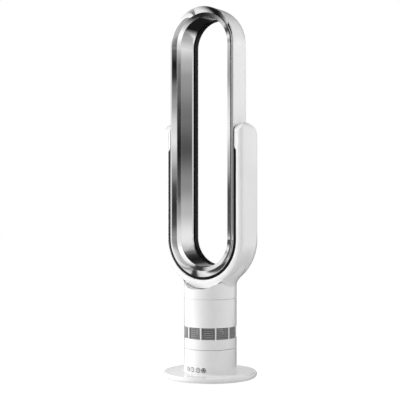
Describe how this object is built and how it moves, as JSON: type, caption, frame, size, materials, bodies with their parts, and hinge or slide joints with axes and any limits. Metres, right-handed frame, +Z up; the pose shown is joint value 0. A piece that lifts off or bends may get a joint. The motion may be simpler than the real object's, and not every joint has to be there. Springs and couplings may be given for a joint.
{
  "type": "bladeless fan",
  "caption": "Free-standing bladeless tower fan: tall hollow loop in a U-shaped cradle on a round column that swings, with an air intake grille and a round foot.",
  "frame": {"origin": "on the floor under the centre of the round base", "axes": "+Z up along the column, -Y towards the front that the air leaves by, +X to the right seen from the front"},
  "size_m": [0.249, 0.242, 0.9578],
  "materials": {
    "white_gloss": "gloss",
    "smoked_mirror": "smoked mirror plating",
    "dark_trim": "gloss black",
    "grille_grey": "matt",
    "inner_plastic": "matt",
    "slippery_plastic": "satin",
    "rubber_black": "matt",
    "cast_weight": "as cast",
    "screw_steel": "zinc plated",
    "motor_steel": "plated",
    "pin_brass": "plated",
    "circuit_board": "resin"
  },
  "bodies": {
    "base": {"base_plate": "white_gloss", "bottom_cover": "dark_trim", "foot_pads": "rubber_black", "ballast_ring": "cast_weight", "base_screws": "screw_steel", "lower_housing": "white_gloss", "control_board": "circuit_board", "tact_switches": "dark_trim", "power_inlet": "dark_trim", "inlet_pins": "pin_brass", "power_board": "circuit_board", "board_posts": "inner_plastic", "chassis": "inner_plastic", "glide_ring": "slippery_plastic", "swing_motor": "motor_steel", "swing_retainer": "screw_steel", "retainer_screws": "screw_steel"},
    "swing": {"turntable": "slippery_plastic", "intake_frame": "white_gloss", "intake_grille": "grille_grey", "body_shell": "white_gloss", "collar": "white_gloss", "motor_bucket": "inner_plastic", "bucket_seal": "rubber_black", "bucket_mounts": "rubber_black", "motor_bearings": "screw_steel", "motor_stator": "motor_steel", "motor_can": "motor_steel", "tail_cone": "inner_plastic", "diffuser": "inner_plastic", "driver_board": "circuit_board", "loop_rear_shell": "white_gloss", "loop_front_ring": "smoked_mirror", "loop_throat": "smoked_mirror", "nozzle_lip": "dark_trim", "nozzle_spacers": "dark_trim", "cradle_front": "white_gloss", "cradle_rear": "white_gloss", "cradle_lining": "dark_trim", "neck_duct": "inner_plastic"},
    "rotor": {"impeller": "inner_plastic", "impeller_nut": "screw_steel", "motor_shaft": "screw_steel", "motor_rotor": "motor_steel"},
    "pinion": {"swing_pinion": "slippery_plastic", "swing_shaft": "screw_steel"},
    "power_button": {"button_power": "white_gloss"},
    "timer_button": {"button_timer": "white_gloss"},
    "swing_button": {"button_swing": "white_gloss"},
    "speed_button": {"button_speed": "white_gloss"}
  },
  "joints": [
    {"name": "swing_turn", "type": "hinge", "parent": "base", "child": "swing", "pos_m": [0, 0, 0.0748], "axis": [0, 0, 1], "range_deg": [-45, 45]},
    {"name": "rotor_spin", "type": "hinge", "parent": "swing", "child": "rotor", "pos_m": [0, 0, 0.175], "axis": [0, 0, 1], "continuous": true},
    {"name": "pinion_turn", "type": "hinge", "parent": "base", "child": "pinion", "pos_m": [0, 0.0375, 0.066], "axis": [0, 0, 1], "range_deg": [-180, 180]},
    {"name": "power_press", "type": "slide", "parent": "base", "child": "power_button", "axis": [0.3469, 0.9379, 0], "range_m": [0, 0.001], "stiffness_N_per_m": 500},
    {"name": "timer_press", "type": "slide", "parent": "base", "child": "timer_button", "axis": [0.1271, 0.9919, 0], "range_m": [0, 0.001], "stiffness_N_per_m": 500},
    {"name": "swing_press", "type": "slide", "parent": "base", "child": "swing_button", "axis": [-0.1271, 0.9919, 0], "range_m": [0, 0.001], "stiffness_N_per_m": 500},
    {"name": "speed_press", "type": "slide", "parent": "base", "child": "speed_button", "axis": [-0.3469, 0.9379, 0], "range_m": [0, 0.001], "stiffness_N_per_m": 500}
  ],
  "couplings": [
    {"joint": "pinion_turn", "follows": "swing_turn", "ratio": -4}
  ]
}
